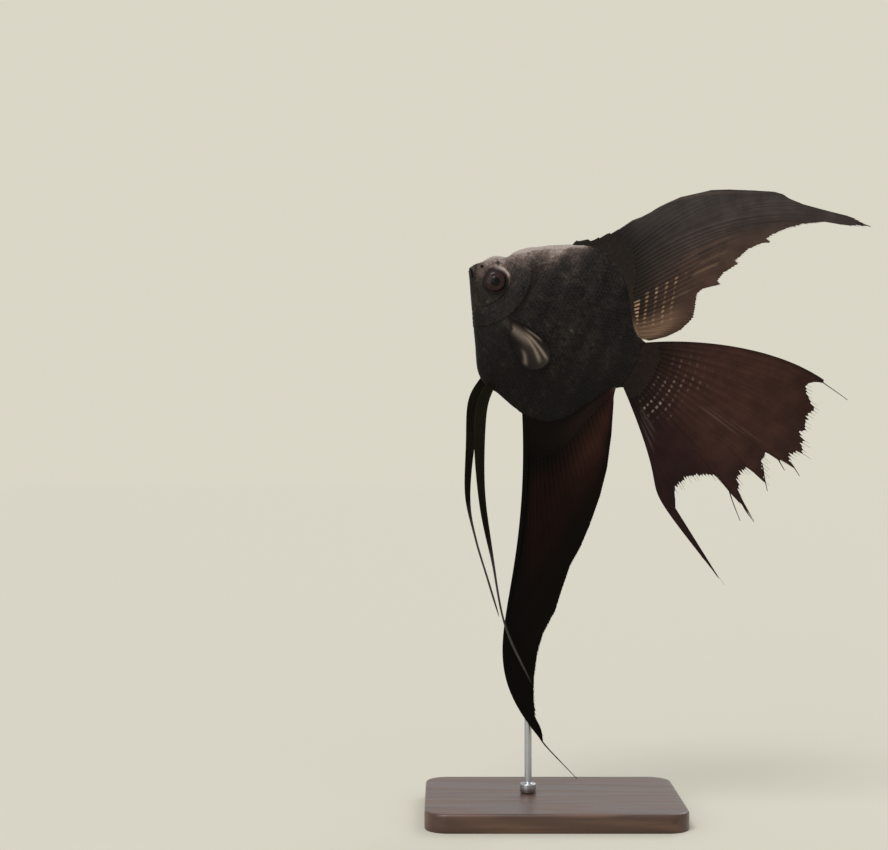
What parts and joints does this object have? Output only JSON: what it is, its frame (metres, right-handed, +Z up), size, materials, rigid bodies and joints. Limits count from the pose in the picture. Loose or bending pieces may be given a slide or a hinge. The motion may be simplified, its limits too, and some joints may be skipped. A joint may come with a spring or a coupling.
{
  "type": "freshwater angelfish, still model on a display stand",
  "caption": "Life-size black veil angelfish with long trailing fins, nose up as it hovers, on a rod over a flat wooden base.",
  "frame": {"origin": "middle of the underside of the stand's base", "axes": "+Z up; the fish looks along -X with its nose 27 degrees up, its left side towards -Y and its right side towards +Y"},
  "size_m": [0.1956, 0.078, 0.2745],
  "materials": {
    "skin": "wet, scaled, near black",
    "fin": "satin, dark brown, thin between the rays",
    "pale_fin": "satin, clear grey with pale rays",
    "eye": "clear gloss",
    "wood": "satin walnut",
    "steel": "polished rod"
  },
  "bodies": {
    "root": {"head": "skin", "lower_jaw": "skin", "gill_cover_left": "skin", "gill_cover_right": "skin", "trunk": "skin", "tail_stalk": "skin", "eye_left": "eye", "eye_right": "eye", "fin_dorsal": "fin", "fin_caudal": "fin", "fin_anal": "fin", "fin_pectoral_left": "pale_fin", "fin_pectoral_right": "pale_fin", "fin_pelvic_left": "fin", "fin_pelvic_right": "fin", "stand_base": "wood", "stand_rod": "steel"}
  },
  "joints": []
}
